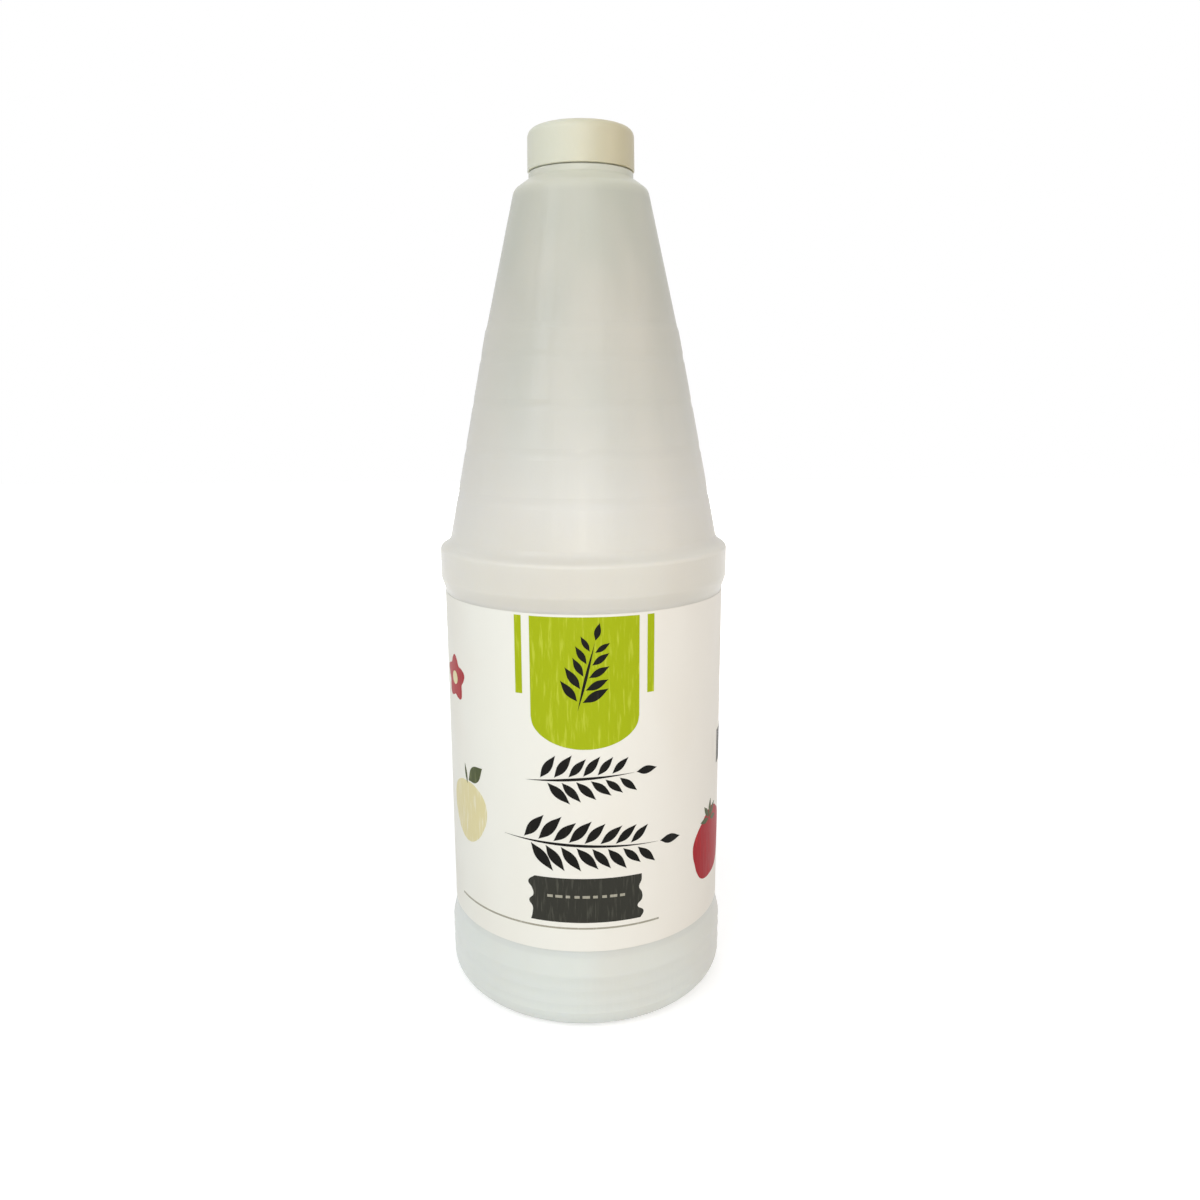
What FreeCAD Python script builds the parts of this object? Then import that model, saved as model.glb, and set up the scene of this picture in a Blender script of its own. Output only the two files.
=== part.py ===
"""One-litre bottle of vinegar, filled and shut: the blow-moulded HDPE bottle, its screw cap and its
wrap-around label. The milky wall hides the contents, so the bottle and what it holds are one solid.
Millimetres, +Z up, origin on the bottle's axis at the surface it stands on. The label's front faces
-Y and its glued overlap is at the back."""

import FreeCAD
import Part

import math
import os

# Body, from the floor up
belt_radius = 43.0  # the belt and the heel band, the widest parts
panel_recess = 1.2  # how far the label panel lies below the belt and the heel band
heel_radius = 7.5  # rounding between the foot and the heel band
foot_ring_width = 2.4  # flat ring that the bottle stands on
push_up_run = 7.0  # from the foot ring's inner edge to the raised middle
push_up_height = 3.4
heel_band_height = 18.5  # floor to the top edge of the heel band
panel_run_in = 5.2  # slope from the heel band up into the panel
panel_height = 101.8
belt_run_out = 3.6  # slope from the panel up onto the belt
belt_height = 8.8
belt_ledge_width = 3.0  # belt's edge to the foot of the cone
belt_ledge_rise = 1.8
lower_cone_height = 60.0
lower_cone_top_radius = 28.1
step_depth = 0.6  # the upper cone starts this much inside the lower one
step_height = 1.6
upper_cone_height = 38.4
shoulder_width = 4.3  # collar to the top corner of the cone
shoulder_rise = 3.0

# Roundings of the body's corners
push_up_rounding = 3.0
run_rounding = 3.0  # both slopes beside the label panel
belt_top_rounding = 1.4
cone_foot_rounding = 3.5
step_rounding = 4.0
shoulder_rounding = 3.0
collar_rounding = 0.5

# Shallow rings pressed into the heel band and the lower cone
ring_width = 3.2
ring_depth = 0.14
heel_ring_drop = 2.2  # top edge of the heel band down to the first ring
heel_ring_pitch = 4.2
cone_ring_rise = 13.9  # foot of the cone up to the first ring
cone_ring_pitch = 12.9

# Collar, neck and cap
cap_outer_radius = 15.1  # at the rim
cap_draft = 0.15  # the skirt is this much narrower at its top
cap_height = 11.3
cap_wall = 1.2
cap_top_thickness = 1.3
cap_top_rounding = 2.4
cap_rim_rounding = 0.3
cap_rim_gap = 0.15  # collar to the rim
collar_height = 1.9
collar_inset = 0.3  # the collar's radius is this much under the cap's
neck_clearance = 0.2  # neck to the inside of the skirt
neck_rim_rounding = 0.5

# Label
label_thickness = 0.12
label_gap_low = 2.2  # label's lower edge above the panel's lower end
label_gap_high = 0.7
label_overlap = 8.0  # glued strip at the back, along the circumference

AXIS = FreeCAD.Vector(0, 0, 1)
ORIGIN = FreeCAD.Vector(0, 0, 0)

# Heights that follow
panel_low = heel_band_height + panel_run_in
panel_high = panel_low + panel_height
belt_low = panel_high + belt_run_out
belt_high = belt_low + belt_height
cone_foot = belt_high + belt_ledge_rise
cone_step = cone_foot + lower_cone_height
shoulder_low = cone_step + upper_cone_height
shoulder_high = shoulder_low + shoulder_rise
collar_high = shoulder_high + collar_height
cap_rim = collar_high + cap_rim_gap
cap_top = cap_rim + cap_height
cap_ceiling = cap_top - cap_top_thickness

# Radii that follow
panel_radius = belt_radius - panel_recess
foot_outer_radius = belt_radius - heel_radius
foot_inner_radius = foot_outer_radius - foot_ring_width
push_up_radius = foot_inner_radius - push_up_run
cone_foot_radius = belt_radius - belt_ledge_width
upper_cone_radius = lower_cone_top_radius - step_depth
collar_radius = cap_outer_radius - collar_inset
shoulder_corner_radius = collar_radius + shoulder_width
neck_radius = cap_outer_radius - cap_wall - neck_clearance


def flat(radius, height):
    """A point of a profile, in the half plane that is turned about the axis."""
    return FreeCAD.Vector(radius, 0, height)


def rounded_profile(corners):
    """Closed face in the XZ plane through corners (radius, height, rounding)."""
    count = len(corners)
    points = [flat(radius, height) for radius, height, _ in corners]
    edges = []
    starts = []
    ends = []
    for i, (_, _, rounding) in enumerate(corners):
        before = (points[i - 1] - points[i]).normalize()
        after = (points[(i + 1) % count] - points[i]).normalize()
        half_angle = before.getAngle(after) / 2
        if rounding <= 0:
            starts.append(points[i])
            ends.append(points[i])
            edges.append(None)
            continue
        reach = rounding / math.tan(half_angle)
        first = points[i] + before * reach
        last = points[i] + after * reach
        centre = points[i] + (before + after).normalize() * (rounding / math.sin(half_angle))
        middle = centre + (points[i] - centre).normalize() * rounding
        starts.append(first)
        ends.append(last)
        edges.append(Part.Arc(first, middle, last).toShape())
    outline = []
    for i in range(count):
        if edges[i] is not None:
            outline.append(edges[i])
        outline.append(Part.LineSegment(ends[i], starts[(i + 1) % count]).toShape())
    return Part.Face(Part.Wire(outline))


def turned(corners):
    """Solid of revolution about the axis."""
    return rounded_profile(corners).revolve(ORIGIN, AXIS, 360)


def tube(inner, outer, low, high):
    """Plain ring from height low to high."""
    solid = Part.makeCylinder(outer, high - low, flat(0, low), AXIS)
    return solid.cut(Part.makeCylinder(inner, high - low, flat(0, low), AXIS))


def body_corners():
    """The bottle's corners, from the middle of the base out and up to the top of the neck."""
    return [
        (0, push_up_height, 0),
        (push_up_radius, push_up_height, push_up_rounding),
        (foot_inner_radius, 0, 0),
        (belt_radius, 0, heel_radius),
        (belt_radius, heel_band_height, run_rounding),
        (panel_radius, panel_low, run_rounding),
        (panel_radius, panel_high, run_rounding),
        (belt_radius, belt_low, run_rounding),
        (belt_radius, belt_high, belt_top_rounding),
        (cone_foot_radius, cone_foot, cone_foot_rounding),
        (lower_cone_top_radius, cone_step, step_rounding),
        (upper_cone_radius, cone_step + step_height, step_rounding),
        (shoulder_corner_radius, shoulder_low, shoulder_rounding),
        (collar_radius, shoulder_high, collar_rounding),
        (collar_radius, collar_high, collar_rounding),
        (neck_radius, collar_high, 0),
        (neck_radius, cap_ceiling, neck_rim_rounding),
        (0, cap_ceiling, 0),
    ]


def ring_cutter(radius, height, slope):
    """A torus that presses one shallow ring into the wall, square to its slope dr/dz."""
    section = ring_width**2 / (8 * ring_depth) + ring_depth / 2
    reach = section - ring_depth
    tilt = math.atan(slope)
    centre = flat(0, height - reach * math.sin(tilt))
    return Part.makeTorus(radius + reach * math.cos(tilt), section, centre, AXIS)


def ring_cutters():
    """One for each ring that fits above the heel's rounding or below the step in the cone."""
    cutters = []
    height = heel_band_height - heel_ring_drop
    while height > heel_radius:
        cutters.append(ring_cutter(belt_radius, height, 0))
        height -= heel_ring_pitch
    slope = (lower_cone_top_radius - cone_foot_radius) / lower_cone_height
    rise = cone_ring_rise
    while rise < lower_cone_height - ring_width:
        cutters.append(ring_cutter(cone_foot_radius + slope * rise, cone_foot + rise, slope))
        rise += cone_ring_pitch
    return cutters


def make_bottle():
    """The bottle from its raised base to the top of its neck."""
    return turned(body_corners()).cut(ring_cutters())


def make_cap():
    """The screw cap, its ceiling seated on the rim of the neck."""
    skirt_inner_radius = neck_radius + neck_clearance
    return turned(
        [
            (0, cap_ceiling, 0),
            (skirt_inner_radius, cap_ceiling, 0),
            (skirt_inner_radius, cap_rim, cap_rim_rounding),
            (cap_outer_radius, cap_rim, cap_rim_rounding),
            (cap_outer_radius - cap_draft, cap_top, cap_top_rounding),
            (0, cap_top, 0),
        ]
    )


def make_label():
    """The wrap-around label, its end glued over its start at the back."""
    low = panel_low + label_gap_low
    high = panel_high - label_gap_high
    outer = panel_radius + label_thickness
    band = tube(panel_radius, outer, low, high)
    flap_angle = math.degrees(label_overlap / outer)
    section = Part.Face(
        Part.makePolygon(
            [
                flat(outer, low),
                flat(outer + label_thickness, low),
                flat(outer + label_thickness, high),
                flat(outer, high),
                flat(outer, low),
            ]
        )
    )
    flap = section.revolve(ORIGIN, AXIS, flap_angle)
    flap.rotate(ORIGIN, AXIS, 90 - flap_angle / 2)
    return band.fuse(flap).removeSplitter()


def main():
    """Builds each piece and writes it to its own file."""
    os.makedirs("parts", exist_ok=True)
    pieces = {
        "bottle": make_bottle(),
        "cap": make_cap(),
        "label": make_label(),
    }
    for name, shape in pieces.items():
        solids = shape.Solids
        if len(solids) != 1 or not shape.isValid():
            raise ValueError(f"{name} isn't one valid solid")
        solids[0].exportStep(f"parts/{name}.step")
        print(f"{name}: {solids[0].Volume / 1000:.1f} ml, top at {shape.BoundBox.ZMax:.1f} mm")


main()
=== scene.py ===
"""Looks of a one-litre vinegar bottle: milky HDPE, a cream screw cap and a printed film label.

The bottle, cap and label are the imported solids, which only get their finishes here. The print on
the label is drawn as flat shapes, given a little thickness and rolled onto the label.
"""

import logging
import math
from dataclasses import dataclass, field
from enum import Enum

import bpy
from mathutils import Matrix, Vector


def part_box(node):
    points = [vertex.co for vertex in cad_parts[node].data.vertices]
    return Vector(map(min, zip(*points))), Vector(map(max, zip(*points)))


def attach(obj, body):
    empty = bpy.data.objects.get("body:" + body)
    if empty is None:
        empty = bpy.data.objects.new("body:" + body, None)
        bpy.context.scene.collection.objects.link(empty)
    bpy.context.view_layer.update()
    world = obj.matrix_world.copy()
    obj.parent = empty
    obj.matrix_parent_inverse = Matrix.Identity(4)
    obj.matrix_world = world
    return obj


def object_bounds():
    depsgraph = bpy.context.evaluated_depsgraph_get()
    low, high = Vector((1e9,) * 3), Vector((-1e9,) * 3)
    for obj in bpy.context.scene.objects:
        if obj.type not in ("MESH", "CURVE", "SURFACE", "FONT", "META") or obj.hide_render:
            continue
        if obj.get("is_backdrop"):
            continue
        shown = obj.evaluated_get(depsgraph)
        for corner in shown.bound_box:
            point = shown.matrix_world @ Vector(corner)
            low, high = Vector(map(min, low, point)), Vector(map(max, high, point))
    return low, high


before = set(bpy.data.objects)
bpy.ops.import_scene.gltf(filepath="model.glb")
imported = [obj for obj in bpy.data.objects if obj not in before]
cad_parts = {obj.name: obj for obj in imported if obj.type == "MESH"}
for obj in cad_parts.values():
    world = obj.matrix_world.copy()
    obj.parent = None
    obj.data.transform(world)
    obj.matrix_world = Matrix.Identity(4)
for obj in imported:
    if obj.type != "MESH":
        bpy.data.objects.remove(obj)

MM = 0.001
log = logging.getLogger("vinegar_bottle")

WHITE = (1.0, 1.0, 1.0, 1.0)
# Most values of a noise lie between these two
NOISE_LOW = 0.3
NOISE_HIGH = 0.7

Colour = tuple[float, float, float, float]
Marks = tuple[float, float, float]
Point = tuple[float, float]
Span = tuple[float, float]


def linear(code: str) -> Colour:
    """Turns an sRGB hex colour into the linear values that shaders read.

    Args:
        code: Six hex digits, such as "DCDACD".

    Returns:
        Linear red, green and blue, with alpha 1.
    """
    channels = [int(code[i : i + 2], 16) / 255 for i in (0, 2, 4)]
    straight = [c / 12.92 if c <= 0.04045 else ((c + 0.055) / 1.055) ** 2.4 for c in channels]
    return straight[0], straight[1], straight[2], 1.0


def add_node(
    tree: bpy.types.NodeTree,
    kind: str,
    settings: dict[str, object] | None = None,
    links: dict[str | int, object] | None = None,
) -> bpy.types.Node:
    """Adds one shader node.

    Args:
        tree: The node tree that gets the node.
        kind: The node's type, such as "ShaderNodeTexNoise".
        settings: The node's properties by name.
        links: For each input, a socket to link from or a value to set.

    Returns:
        The new node.
    """
    node = tree.nodes.new(kind)
    for name, value in (settings or {}).items():
        setattr(node, name, value)
    for name, source in (links or {}).items():
        if isinstance(source, bpy.types.NodeSocket):
            tree.links.new(source, node.inputs[name])
        else:
            node.inputs[name].default_value = source
    return node


def new_material(
    name: str, numbers: dict[str | int, object]
) -> tuple[bpy.types.Material, bpy.types.NodeTree, bpy.types.Node]:
    """Starts a material with one Principled shader.

    Args:
        name: The material's name.
        numbers: What is the same all over the surface, by the shader's own sockets.

    Returns:
        The material, its node tree and its Principled node.
    """
    material = bpy.data.materials.new(name)
    material.use_nodes = True
    tree = material.node_tree
    tree.nodes.clear()
    shader = add_node(tree, "ShaderNodeBsdfPrincipled", links=numbers)
    add_node(tree, "ShaderNodeOutputMaterial", links={"Surface": shader.outputs["BSDF"]})
    return material, tree, shader


def object_axes(tree: bpy.types.NodeTree) -> bpy.types.Node:
    """Reads where on the object a point lies.

    Args:
        tree: The node tree that gets the nodes.

    Returns:
        A node whose outputs X, Y and Z are the place in metres.
    """
    place = add_node(tree, "ShaderNodeTexCoord").outputs["Object"]
    return add_node(tree, "ShaderNodeSeparateXYZ", links={"Vector": place})


def stretched_noise(
    tree: bpy.types.NodeTree, marks: Marks, detail: float = 2.0
) -> bpy.types.NodeSocket:
    """Noise whose marks have a real size along each axis.

    Args:
        tree: The node tree that gets the nodes.
        marks: Size of a mark along X, Y and Z, in metres.
        detail: How much finer noise is laid over the marks.

    Returns:
        The noise's value, from 0 to 1.
    """
    place = add_node(tree, "ShaderNodeTexCoord").outputs["Object"]
    scale = tuple(1 / length for length in marks)
    mapping = add_node(tree, "ShaderNodeMapping", links={"Vector": place, "Scale": scale})
    noise = add_node(
        tree,
        "ShaderNodeTexNoise",
        links={"Vector": mapping.outputs["Vector"], "Scale": 1.0, "Detail": detail},
    )
    return noise.outputs["Fac"]


def colour_change(
    tree: bpy.types.NodeTree,
    value: bpy.types.NodeSocket,
    edges: Span,
    first: object,
    second: object,
    most: float = 1.0,
) -> bpy.types.NodeSocket:
    """Lets one colour pass smoothly into another as a value rises.

    Args:
        tree: The node tree that gets the nodes.
        value: What the colours follow.
        edges: The values at which the change starts and ends.
        first: The colour below the change, or a socket that gives one.
        second: The colour above it.
        most: How much of the second colour shows there, from 0 to 1.

    Returns:
        The colour.
    """
    low, high = edges
    share = add_node(
        tree,
        "ShaderNodeMapRange",
        settings={"interpolation_type": "SMOOTHSTEP"},
        links={"Value": value, "From Min": low, "From Max": high, "To Max": most},
    )
    # Of a mix of colours, inputs 0, 6 and 7 are the share and the two colours, and output 2 is the mix
    mix = add_node(
        tree,
        "ShaderNodeMix",
        settings={"data_type": "RGBA"},
        links={0: share.outputs["Result"], 6: first, 7: second},
    )
    return mix.outputs[2]


def vary_roughness(
    tree: bpy.types.NodeTree, shader: bpy.types.Node, noise: bpy.types.NodeSocket, limits: Span
) -> None:
    """Makes a surface smoother and rougher by a noise.

    Args:
        tree: The material's node tree.
        shader: Its Principled node.
        noise: What the roughness follows.
        limits: The lowest and the highest roughness.
    """
    low, high = limits
    rough = add_node(
        tree,
        "ShaderNodeMapRange",
        settings={"interpolation_type": "SMOOTHSTEP"},
        links={
            "Value": noise,
            "From Min": NOISE_LOW,
            "From Max": NOISE_HIGH,
            "To Min": low,
            "To Max": high,
        },
    )
    tree.links.new(rough.outputs["Result"], shader.inputs["Roughness"])


@dataclass(frozen=True)
class Relief:
    """A relief of noise: the size of its marks along X, Y and Z, and how high they stand."""

    marks: Marks
    depth: float

    def build(
        self, tree: bpy.types.NodeTree, under: bpy.types.NodeSocket | None = None
    ) -> bpy.types.NodeSocket:
        """Adds the relief to a surface.

        Args:
            tree: The material's node tree.
            under: The normal of the relief that this one lies on.

        Returns:
            The new normal.
        """
        links: dict[str | int, object] = {
            "Height": stretched_noise(tree, self.marks, detail=1.0),
            "Distance": self.depth,
            "Strength": 1.0,
        }
        if under is not None:
            links["Normal"] = under
        return add_node(tree, "ShaderNodeBump", links=links).outputs["Normal"]


def dress(piece: bpy.types.Object, material: bpy.types.Material) -> None:
    """Gives every slot of a piece the same material.

    Args:
        piece: The object that is dressed.
        material: Its finish.
    """
    if not piece.material_slots:
        piece.data.materials.append(material)
    for slot in piece.material_slots:
        slot.material = material


def select_only(piece: bpy.types.Object) -> None:
    """Makes one object the selected and active one.

    Args:
        piece: The object that the next operators act on.
    """
    bpy.ops.object.select_all(action="DESELECT")
    piece.select_set(True)
    bpy.context.view_layer.objects.active = piece


@dataclass(frozen=True)
class MilkyHdpe:
    """Natural high-density polyethylene, blow-moulded: milky and soft-edged, with light inside it."""

    height: float
    # Shares of the height and their colours: cool at the foot, pale to the belt, then greener and
    # darker up the neck, and paler again at the collar, where painted light lifts the cap's shadow
    stops: tuple[tuple[float, str], ...] = (
        (0.0, "DEE3DE"),
        (0.1, "DCE1DB"),
        (0.52, "DEDCD2"),
        (0.60, "DAD9D2"),
        (0.72, "C7C8BF"),
        (0.82, "BCBDB2"),
        (0.93, "B8BBAE"),
        # The collar's paler colour is painted light against the shadow under the cap
        (0.948, "CED0C0"),
    )
    # Cloudy warmer patches, a few centimetres across, where the wall is thicker or thinner
    warm_colour: str = "D8D3C8"
    warm_share: float = 0.45
    warm_edges: Span = (0.35, 0.75)
    cloud_marks: Marks = (30 * MM, 30 * MM, 60 * MM)
    roughness: Span = (0.44, 0.54)
    # Long faint lines from drawing the hot tube down, and shallow dents
    draw_lines: Relief = Relief((1.6 * MM, 1.6 * MM, 70 * MM), 0.05 * MM)
    dents: Relief = Relief((14 * MM, 14 * MM, 22 * MM), 0.5 * MM)
    # The mould's sand-blasted grain, drawn coarser than it is so that it shows
    grain: Relief = Relief((0.45 * MM, 0.45 * MM, 0.45 * MM), 0.012 * MM)
    # The mould's parting line: half the width of its crest and of its foot, and its height
    parting_crest: float = 0.15 * MM
    parting_foot: float = 0.45 * MM
    parting_height: float = 0.12 * MM

    def build(self) -> bpy.types.Material:
        """Makes the material.

        Returns:
            The material, its colours laid out up the bottle.
        """
        # The skin that lay against the mould is a little glossier than the wall's soft scatter
        material, tree, shader = new_material(
            "blow-moulded natural HDPE",
            {
                "IOR": 1.5,
                "Specular IOR Level": 0.35,
                "Coat Weight": 0.28,
                "Coat Roughness": 0.17,
                "Subsurface Weight": 0.6,
                "Subsurface Radius": (1.0, 0.95, 0.8),
                "Subsurface Scale": 4 * MM,
            },
        )
        axes = object_axes(tree)
        cloud = stretched_noise(tree, self.cloud_marks)
        body = self.body_colour(tree, axes.outputs["Z"])
        warm = linear(self.warm_colour)
        colour = colour_change(tree, cloud, self.warm_edges, body, warm, self.warm_share)
        tree.links.new(colour, shader.inputs["Base Color"])
        vary_roughness(tree, shader, cloud, self.roughness)
        normal = self.draw_lines.build(tree)
        normal = self.dents.build(tree, normal)
        normal = self.grain.build(tree, normal)
        normal = self.parting_line(tree, axes.outputs["Y"], normal)
        tree.links.new(normal, shader.inputs["Normal"])
        return material

    def body_colour(
        self, tree: bpy.types.NodeTree, up: bpy.types.NodeSocket
    ) -> bpy.types.NodeSocket:
        """Lays the wall's colours out up the bottle.

        Args:
            tree: The material's node tree.
            up: The height above the floor.

        Returns:
            The colour.
        """
        share = add_node(tree, "ShaderNodeMapRange", links={"Value": up, "From Max": self.height})
        ramp = add_node(tree, "ShaderNodeValToRGB", links={"Fac": share.outputs["Result"]})
        elements = ramp.color_ramp.elements
        while len(elements) < len(self.stops):
            elements.new(0.5)
        for element, (position, code) in zip(elements, self.stops):
            element.position = position
            element.color = linear(code)
        return ramp.outputs["Color"]

    def parting_line(
        self, tree: bpy.types.NodeTree, depth: bpy.types.NodeSocket, under: bpy.types.NodeSocket
    ) -> bpy.types.NodeSocket:
        """Raises the mould's parting line, a thin ridge down both sides.

        Args:
            tree: The material's node tree.
            depth: The place along Y, which is 0 on the line.
            under: The normal of the relief that the ridge lies on.

        Returns:
            The new normal.
        """
        away = add_node(
            tree, "ShaderNodeMath", settings={"operation": "ABSOLUTE"}, links={0: depth}
        )
        ridge = add_node(
            tree,
            "ShaderNodeMapRange",
            settings={"interpolation_type": "SMOOTHSTEP"},
            links={
                "Value": away.outputs["Value"],
                "From Min": self.parting_crest,
                "From Max": self.parting_foot,
                "To Min": 1.0,
                "To Max": 0.0,
            },
        )
        bump = add_node(
            tree,
            "ShaderNodeBump",
            links={
                "Height": ridge.outputs["Result"],
                "Distance": self.parting_height,
                "Strength": 1.0,
                "Normal": under,
            },
        )
        return bump.outputs["Normal"]


@dataclass(frozen=True)
class CreamPolypropylene:
    """Injection-moulded cream polypropylene: warmer and a little glossier than the bottle."""

    # The colour turns warmer and darker towards +X: painted shade with a painted warm reflection on
    # that side
    cool_colour: str = "D6D7C5"
    warm_colour: str = "C6BE9E"
    warm_edges: Span = (-11 * MM, 15 * MM)
    roughness: Span = (0.32, 0.42)
    # Faint flow marks from the moulding
    flow_marks: Marks = (3 * MM, 3 * MM, 5 * MM)
    flow_depth: float = 0.1 * MM
    # The mould's fine grain, drawn coarser than it is so that it shows
    grain: Relief = Relief((0.5 * MM, 0.5 * MM, 0.5 * MM), 0.015 * MM)

    def build(self) -> bpy.types.Material:
        """Makes the material.

        Returns:
            The material.
        """
        material, tree, shader = new_material(
            "moulded cream polypropylene",
            {
                "IOR": 1.49,
                "Subsurface Weight": 0.35,
                "Subsurface Radius": (1.0, 0.9, 0.65),
                "Subsurface Scale": 1.5 * MM,
            },
        )
        # Painted shade and warm reflection: the colour darkens and warms towards +X
        across = object_axes(tree).outputs["X"]
        cool, warm = linear(self.cool_colour), linear(self.warm_colour)
        colour = colour_change(tree, across, self.warm_edges, cool, warm)
        tree.links.new(colour, shader.inputs["Base Color"])
        flow = stretched_noise(tree, self.flow_marks)
        vary_roughness(tree, shader, flow, self.roughness)
        waves = add_node(
            tree,
            "ShaderNodeBump",
            links={"Height": flow, "Distance": self.flow_depth, "Strength": 1.0},
        )
        normal = self.grain.build(tree, waves.outputs["Normal"])
        tree.links.new(normal, shader.inputs["Normal"])
        return material


@dataclass(frozen=True)
class LabelFilm:
    """White polypropylene label film, varnished: smooth, softly rippled and a little uneven in tone."""

    # The white turns a little warmer towards +X: a painted warm reflection on that side
    cool_colour: str = "EEEEE5"
    warm_colour: str = "EFECE3"
    warm_edges: Span = (-30 * MM, 36 * MM)
    # Cloudy patches where the film has aged
    aged_colour: str = "EBE6DA"
    aged_share: float = 0.4
    aged_edges: Span = (0.4, 0.75)
    cloud_marks: Marks = (26 * MM, 26 * MM, 40 * MM)
    roughness: Span = (0.42, 0.5)
    ripple: Relief = Relief((9 * MM, 9 * MM, 30 * MM), 0.22 * MM)
    # The film's grain, drawn coarser than it is so that it shows
    grain: Relief = Relief((0.6 * MM, 0.6 * MM, 0.6 * MM), 0.01 * MM)

    def build(self) -> bpy.types.Material:
        """Makes the material.

        Returns:
            The material.
        """
        material, tree, shader = new_material(
            "white label film", {"IOR": 1.49, "Specular IOR Level": 0.15}
        )
        # Painted warm reflection: the white warms towards +X
        across = object_axes(tree).outputs["X"]
        cool, warm = linear(self.cool_colour), linear(self.warm_colour)
        film = colour_change(tree, across, self.warm_edges, cool, warm)
        cloud = stretched_noise(tree, self.cloud_marks)
        aged = linear(self.aged_colour)
        colour = colour_change(tree, cloud, self.aged_edges, film, aged, self.aged_share)
        tree.links.new(colour, shader.inputs["Base Color"])
        vary_roughness(tree, shader, cloud, self.roughness)
        normal = self.ripple.build(tree)
        normal = self.grain.build(tree, normal)
        tree.links.new(normal, shader.inputs["Normal"])
        return material


@dataclass(frozen=True)
class PackedPiece:
    """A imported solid, which keeps its shape and gets its finish."""

    node: str
    finish: MilkyHdpe | CreamPolypropylene | LabelFilm

    def build(self) -> None:
        """Dresses the solid and reports it."""
        material = self.finish.build()
        dress(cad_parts[self.node], material)
        log.info("%s: %s", self.node, material.name)


class Ink(Enum):
    """The label's printing inks: a name, the full colour and the colour where the ink lies thin."""

    GREEN = ("green ink", "A6B512", "BCC838")
    BLACK = ("black ink", "0D0C09", "1C1A15")
    SLATE = ("slate grey ink", "34342E", "4A4A42")
    RED = ("red ink", "A00F1C", "B4282C")
    PALE = ("pale straw ink", "DED5A4", "E9E4CC")
    LEAF = ("dark leaf ink", "4A5230", "68704A")
    RULE = ("grey rule ink", "A3A090", "BDBAAC")

    def build(self) -> bpy.types.Material:
        """Makes the ink's material: satin, streaked along the label's height as if brushed on.

        Returns:
            The material.
        """
        streak_marks = (0.7 * MM, 0.7 * MM, 7 * MM)
        streak_edges = (0.52, 0.72)
        roughness = (0.36, 0.48)
        name, full, thin = self.value
        material, tree, shader = new_material(name, {"IOR": 1.49, "Specular IOR Level": 0.12})
        streak = stretched_noise(tree, streak_marks, detail=3.0)
        colour = colour_change(tree, streak, streak_edges, linear(full), linear(thin))
        tree.links.new(colour, shader.inputs["Base Color"])
        vary_roughness(tree, shader, streak, roughness)
        return material


@dataclass
class Knot:
    """One point of an outline: along the label, up it, and whether the outline is smooth there."""

    along: float
    up: float
    smooth: bool = True


@dataclass
class Sheet:
    """Flat ink shapes of one colour, laid out along and up the label and rolled onto it."""

    name: str
    ink: Ink
    layer: int = 1
    curve_steps: int = 8
    outlines: list[list[Knot]] = field(default_factory=list)

    def add(
        self, knots: list[Knot], middle: Point = (0.0, 0.0), turn: float = 0.0, flatness: float = 1.0
    ) -> None:
        """Adds a closed outline.

        Args:
            knots: The outline's points, about its own middle.
            middle: Where its middle goes, along and up the label.
            turn: Turn about that middle, in degrees, positive to the left.
            flatness: Share of its height that is left, before it is turned.
        """
        cos, sin = math.cos(math.radians(turn)), math.sin(math.radians(turn))
        placed = []
        for knot in knots:
            x, y = knot.along, knot.up * flatness
            place = (middle[0] + x * cos - y * sin, middle[1] + x * sin + y * cos)
            placed.append(Knot(*place, knot.smooth))
        self.outlines.append(placed)

    def draw(self) -> bpy.types.Object:
        """Draws the outlines as one filled curve, turned into a mesh that stands facing -Y.

        Returns:
            The flat sheet.
        """
        bpy.ops.object.select_all(action="DESELECT")
        upright = (math.pi / 2, 0, 0)
        bpy.ops.curve.primitive_bezier_curve_add(location=(0, 0, 0), rotation=upright)
        sheet = bpy.context.object
        sheet.name = self.name
        curve = sheet.data
        curve.dimensions = "2D"
        curve.fill_mode = "BOTH"
        curve.resolution_u = self.curve_steps
        curve.splines.clear()
        for outline in self.outlines:
            spline = curve.splines.new("BEZIER")
            spline.bezier_points.add(len(outline) - 1)
            spline.use_cyclic_u = True
            for point, knot in zip(spline.bezier_points, outline):
                point.co = (knot.along, knot.up, 0)
                point.handle_left_type = "AUTO" if knot.smooth else "VECTOR"
                point.handle_right_type = point.handle_left_type
        bpy.ops.object.convert(target="MESH")
        bpy.ops.object.transform_apply(location=True, rotation=True, scale=True)
        return sheet


def heading(turn: float) -> Vector:
    """Direction along and up the label, from degrees off upright, positive to the left."""
    return Vector((-math.sin(math.radians(turn)), math.cos(math.radians(turn))))


@dataclass(frozen=True)
class Lens:
    """A shape with two pointed ends, as of a leaf, a stem or a sepal."""

    length: float
    half_width: float
    middle: Point
    turn: float = 0.0

    def draw(self, sheet: Sheet) -> None:
        """Draws the shape, widest a little below its middle and uneven from side to side.

        Args:
            sheet: The sheet that gets it.
        """
        tip, right_belly, left_belly = self.length / 2, -0.08 * self.length, -0.02 * self.length
        knots = [
            Knot(0, -tip, False),
            Knot(self.half_width, right_belly),
            Knot(0, tip, False),
            Knot(-self.half_width, left_belly),
        ]
        sheet.add(knots, self.middle, self.turn)


@dataclass(frozen=True)
class Bar:
    """A plain level rectangle."""

    width: float
    height: float
    middle: Point

    def draw(self, sheet: Sheet) -> None:
        """Draws the rectangle.

        Args:
            sheet: The sheet that gets it.
        """
        corners = ((-1, -1), (1, -1), (1, 1), (-1, 1))
        knots = [Knot(x * self.width / 2, y * self.height / 2, False) for x, y in corners]
        sheet.add(knots, self.middle)


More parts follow.
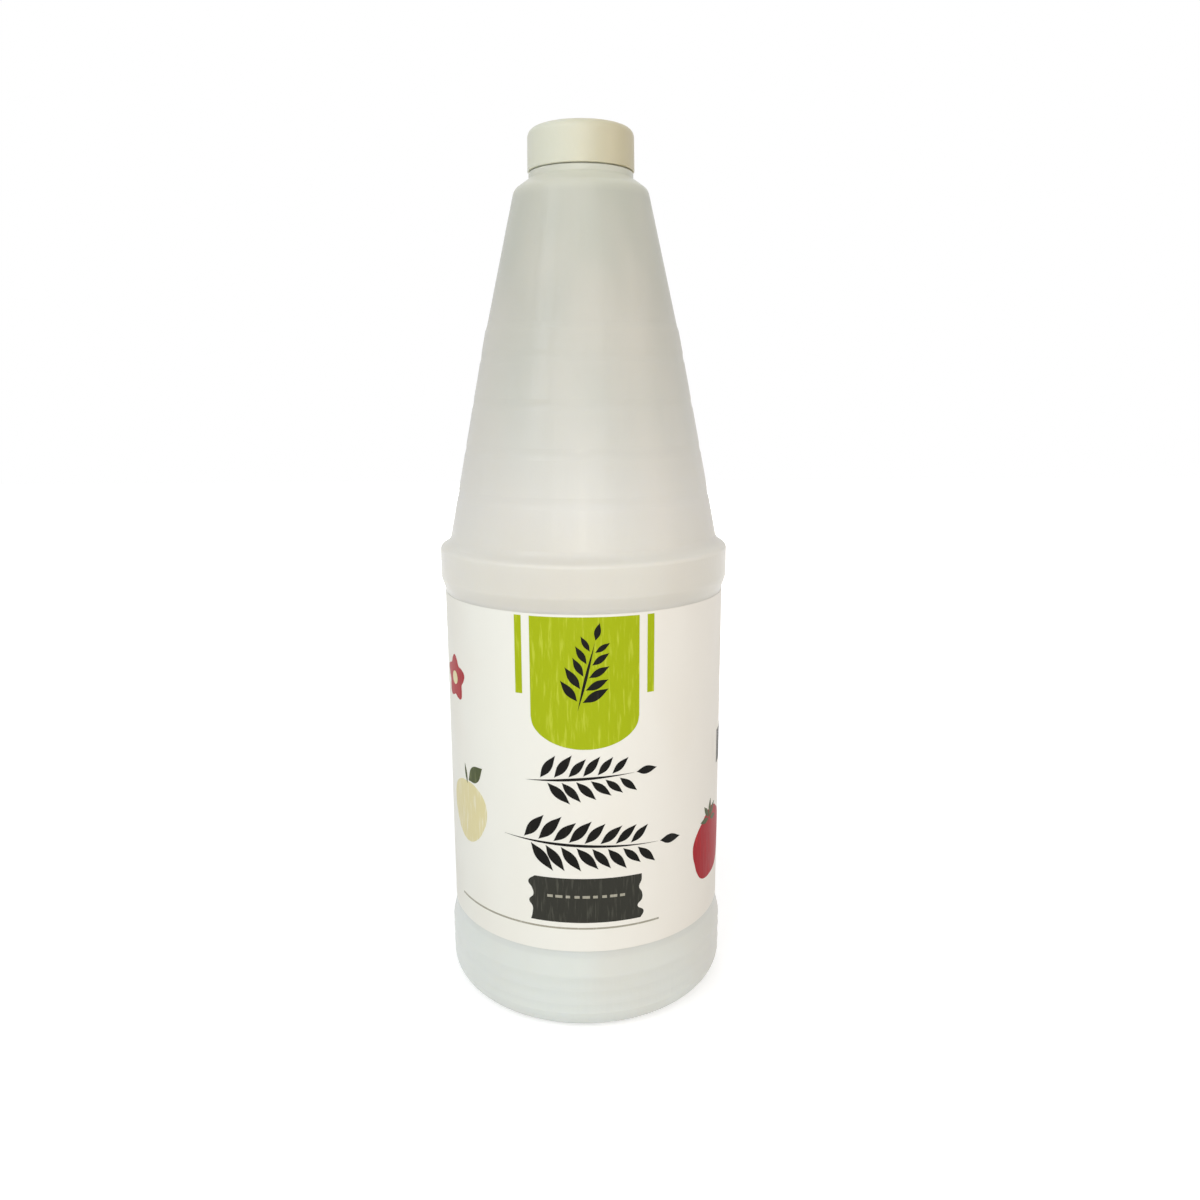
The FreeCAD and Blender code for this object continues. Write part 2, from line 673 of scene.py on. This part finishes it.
@dataclass(frozen=True)
class Disc:
    """A round shape, with lobes that stand out by their depth and dips that fall back by it."""

    radius: float
    middle: Point
    lobes: int = 0
    lobe_depth: float = 0.0
    turn: float = 0.0
    flatness: float = 1.0

    def draw(self, sheet: Sheet) -> None:
        """Draws the shape with four knots to a lobe, and with twelve at least.

        Args:
            sheet: The sheet that gets it.
        """
        count = 4 * max(self.lobes, 3)
        knots = []
        for i in range(count):
            turn = 2 * math.pi * i / count
            reach = self.radius + self.lobe_depth * math.cos(self.lobes * turn)
            knots.append(Knot(reach * math.cos(turn), reach * math.sin(turn)))
        sheet.add(knots, self.middle, self.turn, self.flatness)


@dataclass(frozen=True)
class Twig:
    """A herb's twig: a stem, leaves that shrink towards its tip, and one leaf on top.

    Its lean is in degrees from upright, positive to the left. Its rows are the leaves on each side,
    which stand opposite each other if they are paired, and by turns if not. The leaf sizes are the
    lengths of the lowest and of the highest leaf.
    """

    middle: Point
    lean: float
    tall: float
    rows: int
    leaf_sizes: Span
    paired: bool = True
    stem_half_width: float = 0.4 * MM
    leafy_share: float = 0.72  # of the stem
    root_gap_in_mm: float = 0.75  # from the stem's middle line to a leaf
    leaf_half_width: float = 0.155  # of a leaf's length
    top_half_width: float = 0.18
    top_rise: float = 0.6  # of the top leaf's length, from the stem's tip to that leaf's middle
    lowest_spread: float = 50.0  # degrees between the stem and the lowest leaf
    closing: float = 8.0  # degrees less at the highest leaf
    uneven_spread: float = 3.0  # degrees
    spread_wave: float = 1.9  # radians from row to row
    uneven_length: float = 0.05  # of a leaf's length
    length_wave: float = 2.7  # radians from row to row

    def draw(self, sheet: Sheet) -> None:
        """Draws the whole twig.

        Args:
            sheet: The sheet that gets it.
        """
        Lens(self.tall, self.stem_half_width, self.middle, self.lean).draw(sheet)
        for side in (-1, 1):
            for row in range(self.rows):
                self.draw_leaf(sheet, side, row)
        length = self.leaf_sizes[1]
        rise = self.tall / 2 + self.top_rise * length
        top = Vector(self.middle) + heading(self.lean) * rise
        Lens(length, self.top_half_width * length, tuple(top), self.lean).draw(sheet)

    def draw_leaf(self, sheet: Sheet, side: int, row: int) -> None:
        """Draws one leaf beside the stem.

        Args:
            sheet: The sheet that gets it.
            side: 1 to the right of the stem, or -1 to its left.
            row: Its place from the foot of the stem, counted from 0.
        """
        way = heading(self.lean)
        out = Vector((way.y, -way.x))
        lowest, highest = self.leaf_sizes
        share = row / (self.rows - 1)
        length = lowest + (highest - lowest) * share
        length *= 1 + self.uneven_length * math.sin(self.length_wave * row + side)
        half_step = 0.5 if side > 0 and not self.paired else 0.0
        pitch = self.leafy_share * self.tall / (self.rows - 1 if self.paired else self.rows - 0.5)
        rise = (row + half_step) * pitch - self.leafy_share / 2 * self.tall
        root = Vector(self.middle) + way * rise + out * side * self.root_gap_in_mm * MM
        uneven = self.uneven_spread * math.sin(self.spread_wave * row - side)
        turn = self.lean - side * (self.lowest_spread - self.closing * share + uneven)
        middle = root + heading(turn) * (length / 2)
        Lens(length, self.leaf_half_width * length, tuple(middle), turn).draw(sheet)


@dataclass(frozen=True)
class Tab:
    """A broad tab that hangs from the label's upper edge, its lower end round."""

    width: float = 30.5 * MM
    low: float = 61.0 * MM
    high: float = 98.2 * MM
    drop: float = 9.0 * MM  # height of the round end
    arcs: int = 12
    stripe_width: float = 2.1 * MM
    stripe_gap: float = 2.4 * MM
    stripe_height: float = 22.0 * MM

    def draw(self, sheet: Sheet) -> None:
        """Draws the tab, with a stripe at each side.

        Args:
            sheet: The sheet that gets them.
        """
        half = self.width / 2
        knots = [Knot(-half, self.high, False), Knot(half, self.high, False)]
        for i in range(self.arcs + 1):
            turn = math.pi * i / self.arcs
            up = self.low + self.drop * (1 - math.sin(turn))
            knots.append(Knot(half * math.cos(turn), up, 0 < i < self.arcs))
        sheet.add(knots)
        along = half + self.stripe_gap + self.stripe_width / 2
        up = self.high - self.stripe_height / 2
        for side in (-1, 1):
            Bar(self.stripe_width, self.stripe_height, (side * along, up)).draw(sheet)


@dataclass(frozen=True)
class Plaque:
    """A plaque whose two ends look brushed out, with a row of uneven dashes on it."""

    width: float = 32.0 * MM
    height: float = 13.6 * MM
    middle: float = 15.8 * MM
    teeth: int = 7
    coarse_teeth: float = 0.7 * MM
    coarse_wave: float = 2.1  # radians from tooth to tooth
    fine_teeth: float = 0.4 * MM
    fine_wave: float = 3.7  # likewise
    dashes: int = 9
    dash_pitch: float = 2.6 * MM
    dash_length: float = 1.6 * MM
    dash_change: float = 0.5 * MM
    dash_wave: float = 2.0  # radians from dash to dash
    dash_height: float = 0.8 * MM
    dash_rise: float = 1.2 * MM  # above the plaque's middle

    def draw(self, sheet: Sheet) -> None:
        """Draws the plaque itself.

        Args:
            sheet: The sheet that gets it.
        """
        knots = []
        for side in (1, -1):
            for i in range(self.teeth + 1):
                up = self.middle + side * self.height * (0.5 - i / self.teeth)
                ragged = self.coarse_teeth * math.sin(self.coarse_wave * i + side)
                ragged += self.fine_teeth * math.sin(self.fine_wave * i - side)
                knots.append(Knot(side * self.width / 2 + ragged, up, 0 < i < self.teeth))
        sheet.add(knots)

    def draw_dashes(self, sheet: Sheet) -> None:
        """Draws the row of dashes.

        Args:
            sheet: The sheet that gets them, which lies over the plaque's.
        """
        for i in range(self.dashes):
            along = (i - (self.dashes - 1) / 2) * self.dash_pitch
            length = self.dash_length + self.dash_change * math.sin(self.dash_wave * i)
            Bar(length, self.dash_height, (along, self.middle + self.dash_rise)).draw(sheet)


@dataclass(frozen=True)
class RuleBlock:
    """A block of thin rules, ragged at their right ends.

    Its middle lies along the label, its width is its longest rule's, and low and high are the
    heights of its lowest and highest rule.
    """

    middle: float
    width: float
    low: float
    high: float
    pitch: float
    ragged: float = 0.14  # of the width
    wave: float = 2.9  # radians from rule to rule

    def draw(self, sheet: Sheet, thickness: float) -> None:
        """Draws the rules, the highest first.

        Args:
            sheet: The sheet that gets them.
            thickness: The height of one rule.
        """
        for i in range(int((self.high - self.low) / self.pitch) + 1):
            length = self.width * (1 - self.ragged + self.ragged * math.cos(self.wave * i))
            along = self.middle - (self.width - length) / 2
            Bar(length, thickness, (along, self.high - i * self.pitch)).draw(sheet)


@dataclass(frozen=True)
class Blossom:
    """A red blossom with five petals and a pale eye."""

    petals: Disc = Disc(6.0 * MM, (-47.5 * MM, 75 * MM), lobes=5, lobe_depth=1.0 * MM, turn=18)
    eye: Disc = Disc(2.0 * MM, (-47.5 * MM, 75 * MM))

    def draw(self, colour: Sheet, light: Sheet) -> None:
        """Draws the blossom.

        Args:
            colour: The sheet that gets the petals.
            light: The sheet that gets the eye.
        """
        self.petals.draw(colour)
        self.eye.draw(light)


@dataclass(frozen=True)
class Apple:
    """A pale apple with a leaf and a stalk."""

    fruit: Disc = Disc(
        9.6 * MM, (-41 * MM, 36 * MM), lobes=3, lobe_depth=0.5 * MM, turn=30, flatness=0.98
    )
    leaf: Lens = Lens(9 * MM, 2.3 * MM, (-36.5 * MM, 48.2 * MM), turn=-52)
    stalk: Lens = Lens(6 * MM, 0.5 * MM, (-41.5 * MM, 47.2 * MM), turn=12)

    def draw(self, skin: Sheet, greenery: Sheet) -> None:
        """Draws the apple.

        Args:
            skin: The sheet that gets the fruit.
            greenery: The sheet that gets the leaf and the stalk.
        """
        self.fruit.draw(skin)
        self.leaf.draw(greenery)
        self.stalk.draw(greenery)


@dataclass(frozen=True)
class Tomato:
    """A ripe tomato with the green sepals of its stalk."""

    fruit: Disc = Disc(
        11.6 * MM, (47.5 * MM, 22.5 * MM), lobes=5, lobe_depth=0.4 * MM, turn=20, flatness=0.94
    )
    crown: Point = (46 * MM, 30.5 * MM)  # where the sepals meet
    sepal_turns: tuple[float, ...] = (-100, -50, -8, 38, 86)
    sepal_length: float = 5.6 * MM
    sepal_half_width: float = 0.9 * MM
    sepal_reach: float = 3.3 * MM  # from the crown to a sepal's middle

    def draw(self, skin: Sheet, greenery: Sheet) -> None:
        """Draws the tomato.

        Args:
            skin: The sheet that gets the fruit.
            greenery: The sheet that gets the sepals.
        """
        self.fruit.draw(skin)
        for turn in self.sepal_turns:
            middle = tuple(Vector(self.crown) + heading(turn) * self.sepal_reach)
            Lens(self.sepal_length, self.sepal_half_width, middle, turn).draw(greenery)


@dataclass(frozen=True)
class LabelPrint:
    """The print: fields of colour and simple shapes, in the frame of the label's front.

    Places are lengths along the label from its front line, positive to +X, and heights above the
    label's lower edge.
    """

    radius: float
    low: float
    ink_depth: float = 0.03 * MM
    facet: float = 2 * MM  # width of the strips that a sheet is cut into before it is rolled
    weld: float = 0.002 * MM  # points nearer than this become one
    tab: Tab = Tab()
    plaque: Plaque = Plaque()
    blossom: Blossom = Blossom()
    apple: Apple = Apple()
    tomato: Tomato = Tomato()
    twigs: tuple[Twig, ...] = (
        Twig(
            middle=(0.4 * MM, 81.6 * MM),
            lean=-14,
            tall=20 * MM,
            rows=5,
            leaf_sizes=(7.8 * MM, 5.0 * MM),
        ),
        Twig(
            middle=(-1.6 * MM, 52.4 * MM),
            lean=-86,
            tall=31 * MM,
            rows=6,
            leaf_sizes=(8.4 * MM, 6.4 * MM),
            paired=False,
        ),
        Twig(
            middle=(-1.5 * MM, 32.6 * MM),
            lean=-93,
            tall=46 * MM,
            rows=8,
            leaf_sizes=(9.8 * MM, 7.4 * MM),
            paired=False,
        ),
    )
    # Thin rules: one under the plaque and a block at each side of the back
    rule_height: float = 0.35 * MM
    long_rule: Bar = Bar(68 * MM, 0.56 * MM, (-12 * MM, 7.2 * MM))
    rule_blocks: tuple[RuleBlock, ...] = (
        RuleBlock(middle=81 * MM, width=32 * MM, low=12 * MM, high=42 * MM, pitch=3 * MM),
        RuleBlock(middle=-88 * MM, width=40 * MM, low=24 * MM, high=74 * MM, pitch=3.2 * MM),
    )
    # Plain bars over the two blocks, the slate one with a pale line on it
    green_bar: Bar = Bar(40 * MM, 9 * MM, (-88 * MM, 82 * MM))
    slate_bar: Bar = Bar(44 * MM, 10.5 * MM, (75 * MM, 51 * MM))
    slate_bar_line: Bar = Bar(26 * MM, 0.8 * MM, (75 * MM, 51 * MM))

    def sheets(self) -> list[Sheet]:
        """Lays the whole print out. Shapes that overlap are on sheets of their own.

        Returns:
            The sheets, the lowest layer first.
        """
        green = Sheet("print_green", Ink.GREEN)
        slate = Sheet("print_slate", Ink.SLATE)
        red = Sheet("print_red", Ink.RED)
        straw = Sheet("print_straw", Ink.PALE)
        rules = Sheet("print_rules", Ink.RULE)
        black = Sheet("print_black", Ink.BLACK, layer=2)
        leaves = Sheet("print_leaves", Ink.LEAF, layer=2)
        light = Sheet("print_light", Ink.PALE, layer=2)
        dashes = Sheet("print_dashes", Ink.RULE, layer=2)
        self.tab.draw(green)
        self.green_bar.draw(green)
        self.plaque.draw(slate)
        self.slate_bar.draw(slate)
        self.blossom.draw(red, light)
        self.tomato.draw(red, leaves)
        self.apple.draw(straw, leaves)
        self.long_rule.draw(rules)
        for block in self.rule_blocks:
            block.draw(rules, self.rule_height)
        for twig in self.twigs:
            twig.draw(black)
        self.slate_bar_line.draw(light)
        self.plaque.draw_dashes(dashes)
        return [green, slate, red, straw, rules, black, leaves, light, dashes]

    def roll(self, sheet: bpy.types.Object, layer: int) -> None:
        """Cuts a flat sheet into strips, thickens it and rolls it onto the label.

        Args:
            sheet: The flat sheet, facing -Y.
            layer: How many inks lie under it, plus one.
        """
        select_only(sheet)
        spots = [v.co.x for v in sheet.data.vertices]
        left, right = min(spots), max(spots)
        bpy.ops.object.mode_set(mode="EDIT")
        for i in range(math.ceil(left / self.facet), math.ceil(right / self.facet)):
            bpy.ops.mesh.select_all(action="SELECT")
            bpy.ops.mesh.bisect(plane_co=(i * self.facet, 0, 0), plane_no=(1, 0, 0))
        bpy.ops.mesh.select_all(action="SELECT")
        bpy.ops.mesh.remove_doubles(threshold=self.weld)
        bpy.ops.object.mode_set(mode="OBJECT")
        # One depth of the ink goes into the label, and one for each layer stands proud of it
        solid = sheet.modifiers.new("ink", "SOLIDIFY")
        solid.thickness = self.ink_depth * (layer + 1)
        solid.offset = 1.0
        bpy.ops.object.modifier_apply(modifier=solid.name)
        bend = sheet.modifiers.new("roll", "SIMPLE_DEFORM")
        bend.deform_method = "BEND"
        bend.deform_axis = "Z"
        spots = [v.co.x for v in sheet.data.vertices]
        bend.angle = (max(spots) - min(spots)) / self.radius
        bpy.ops.object.modifier_apply(modifier=bend.name)
        bpy.ops.object.mode_set(mode="EDIT")
        bpy.ops.mesh.select_all(action="SELECT")
        bpy.ops.transform.translate(value=(0, -self.radius + self.ink_depth, self.low))
        bpy.ops.mesh.normals_make_consistent(inside=False)
        bpy.ops.object.mode_set(mode="OBJECT")
        reach = [math.hypot(v.co.x, v.co.y) / MM for v in sheet.data.vertices]
        log.info("%s lies from radius %.3f to %.3f mm", sheet.name, min(reach), max(reach))

    def build(self) -> None:
        """Draws, rolls and dresses every sheet, and reports it."""
        for sheet in self.sheets():
            piece = sheet.draw()
            self.roll(piece, sheet.layer)
            dress(piece, sheet.ink.build())
            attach(piece, "root")
            log.info("%s: %d faces", piece.name, len(piece.data.polygons))


@dataclass(frozen=True)
class Lamp:
    """A soft rectangular lamp that looks at the bottle.

    Its azimuth is in degrees from the front, positive to the right, its elevation in degrees above
    the horizon, its size in metres and its power in watts.
    """

    name: str
    azimuth: float
    elevation: float
    reach: float
    size: tuple[float, float]
    power: float
    colour: str = "FFFFFF"
    in_gloss: bool = True  # whether glossy surfaces mirror it

    def build(self, target: Vector) -> None:
        """Adds the lamp.

        Args:
            target: The point that it looks at, from as far away as its reach.
        """
        data = bpy.data.lights.new(self.name, "AREA")
        data.shape = "RECTANGLE"
        data.size, data.size_y = self.size
        data.energy = self.power
        data.color = linear(self.colour)[:3]
        lamp = bpy.data.objects.new(self.name, data)
        bpy.context.scene.collection.objects.link(lamp)
        turn, rise = math.radians(self.azimuth), math.radians(self.elevation)
        level = math.cos(rise)
        way = Vector((math.sin(turn) * level, -math.cos(turn) * level, math.sin(rise)))
        lamp.location = target + way * self.reach
        lamp.rotation_euler = way.to_track_quat("Z", "Y").to_euler()
        lamp.visible_glossy = self.in_gloss


@dataclass(frozen=True)
class Studio:
    """A white sweep with soft lamps, and the camera a little above the bottle's middle.

    The unit is the bottle's greatest radius. Distances and heights in units grow with it.
    """

    unit: float
    camera_distance: float = 7.0587  # in units, from the bottle's axis
    camera_height: float = 4.2763  # in units
    pitch: float = 12.04  # degrees down
    yaw: float = 0.924  # degrees to the right
    roll: float = -0.233
    lens: float = 30.23
    sensor_width: float = 36.0
    shift_up: float = 0.0024
    nearest: float = 0.01  # what lies nearer to the camera isn't shown
    lamp_target: float = 3.0  # in units above the floor
    # A window's soft streak, a narrow light line, the plain main light, a warm tone on the right,
    # and one behind, kept out of the gloss so that the shoulder gets no white edge. Each has its
    # name, azimuth, elevation, reach, size, power and, where it isn't white, its colour.
    lamps: tuple[Lamp, ...] = (
        Lamp("window", -48, 34, 1.0, (0.3, 0.5), 1.4, "F0F6FF"),
        Lamp("front", -1, 5, 1.0, (0.1, 0.5), 0.8, "FFF4E4"),
        Lamp("wide", -4, 30, 1.5, (1.4, 1.2), 9.7),
        Lamp("warm side", 66, 12, 1.0, (0.4, 0.6), 0.85, "FFDCC2"),
        Lamp("back", 180, 15, 1.5, (0.6, 1.0), 5.0, in_gloss=False),
    )
    world_light: float = 0.47  # strength on the object, where 1 is white
    floor_width: float = 80.0  # in units
    paper: Colour = (0.8, 0.8, 0.8, 1.0)
    glow_edges: Span = (1.6, 8.0)  # in units from the axis
    near_glow: float = 0.45

    def add_camera(self) -> None:
        """Sets the camera at the viewing angle."""
        data = bpy.data.cameras.new("camera")
        data.lens = self.lens
        data.sensor_width = self.sensor_width
        data.shift_y = self.shift_up
        data.clip_start = self.nearest
        camera = bpy.data.objects.new("camera", data)
        bpy.context.scene.collection.objects.link(camera)
        spot = (0, -self.camera_distance * self.unit, self.camera_height * self.unit)
        turned = Matrix.Rotation(math.radians(-self.yaw), 4, "Z")
        tipped = Matrix.Rotation(math.radians(90 - self.pitch), 4, "X")
        rolled = Matrix.Rotation(math.radians(self.roll), 4, "Z")
        camera.matrix_world = Matrix.Translation(spot) @ turned @ tipped @ rolled
        bpy.context.scene.camera = camera

    def seen_directly(self, tree: bpy.types.NodeTree) -> bpy.types.NodeSocket:
        """Tells the rays that look at the background from those that light the object.

        Args:
            tree: The node tree that gets the nodes.

        Returns:
            1 for camera, mirror and see-through rays, and 0 for the rest.
        """
        path = add_node(tree, "ShaderNodeLightPath")
        seen = path.outputs["Is Camera Ray"]
        for ray in ("Is Glossy Ray", "Is Transmission Ray"):
            either = add_node(
                tree,
                "ShaderNodeMath",
                settings={"operation": "MAXIMUM"},
                links={0: seen, 1: path.outputs[ray]},
            )
            seen = either.outputs["Value"]
        return seen

    def add_world(self) -> None:
        """Adds a white background whose light on the object is plain and weaker."""
        world = bpy.data.worlds.new("white studio")
        bpy.context.scene.world = world
        world.use_nodes = True
        tree = world.node_tree
        tree.nodes.clear()
        strength = add_node(
            tree,
            "ShaderNodeMapRange",
            links={"Value": self.seen_directly(tree), "To Min": self.world_light, "To Max": 1.0},
        )
        light = add_node(
            tree,
            "ShaderNodeBackground",
            links={"Color": WHITE, "Strength": strength.outputs["Result"]},
        )
        add_node(tree, "ShaderNodeOutputWorld", links={"Surface": light.outputs["Background"]})

    def add_floor(self) -> None:
        """Adds a white floor that shows the bottle's soft shadow."""
        bpy.ops.object.select_all(action="DESELECT")
        bpy.ops.mesh.primitive_plane_add(size=self.floor_width * self.unit, location=(0, 0, 0))
        floor = bpy.context.object
        floor.name = "floor"
        material = bpy.data.materials.new("white studio paper")
        material.use_nodes = True
        tree = material.node_tree
        tree.nodes.clear()
        paper = add_node(tree, "ShaderNodeBsdfDiffuse", links={"Color": self.paper})
        # The paper glows white further out, where the lamps don't reach, and keeps the shadow near by
        place = add_node(tree, "ShaderNodeTexCoord").outputs["Object"]
        away = add_node(
            tree, "ShaderNodeVectorMath", settings={"operation": "LENGTH"}, links={0: place}
        )
        near, far = self.glow_edges
        strength = add_node(
            tree,
            "ShaderNodeMapRange",
            settings={"interpolation_type": "SMOOTHSTEP"},
            links={
                "Value": away.outputs["Value"],
                "From Min": near * self.unit,
                "From Max": far * self.unit,
                "To Min": self.near_glow,
                "To Max": 1.0,
            },
        )
        shown = add_node(
            tree,
            "ShaderNodeMath",
            settings={"operation": "MULTIPLY"},
            links={0: self.seen_directly(tree), 1: strength.outputs["Result"]},
        )
        glow = add_node(
            tree,
            "ShaderNodeEmission",
            links={"Color": WHITE, "Strength": shown.outputs["Value"]},
        )
        both = add_node(
            tree,
            "ShaderNodeAddShader",
            links={0: paper.outputs["BSDF"], 1: glow.outputs["Emission"]},
        )
        add_node(tree, "ShaderNodeOutputMaterial", links={"Surface": both.outputs["Shader"]})
        dress(floor, material)
        floor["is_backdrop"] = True

    def build(self) -> None:
        """Sets up the whole studio and reports it."""
        self.add_camera()
        self.add_world()
        self.add_floor()
        target = Vector((0, 0, self.lamp_target * self.unit))
        for lamp in self.lamps:
            lamp.build(target)
        bpy.context.scene.view_settings.view_transform = "Standard"
        log.info("studio: %d lamps", len(self.lamps))


def main() -> None:
    """Dresses the bottle, cap and label, adds the print and sets up the studio."""
    logging.basicConfig(level=logging.INFO, format="%(message)s")
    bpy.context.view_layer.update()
    low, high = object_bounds()
    PackedPiece("bottle", MilkyHdpe(height=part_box("bottle")[1].z)).build()
    PackedPiece("cap", CreamPolypropylene()).build()
    PackedPiece("label", LabelFilm()).build()
    label_low, label_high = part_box("label")
    LabelPrint(radius=label_high.x, low=label_low.z).build()
    Studio(unit=(high.x - low.x) / 2).build()


if __name__ == "__main__":
    main()
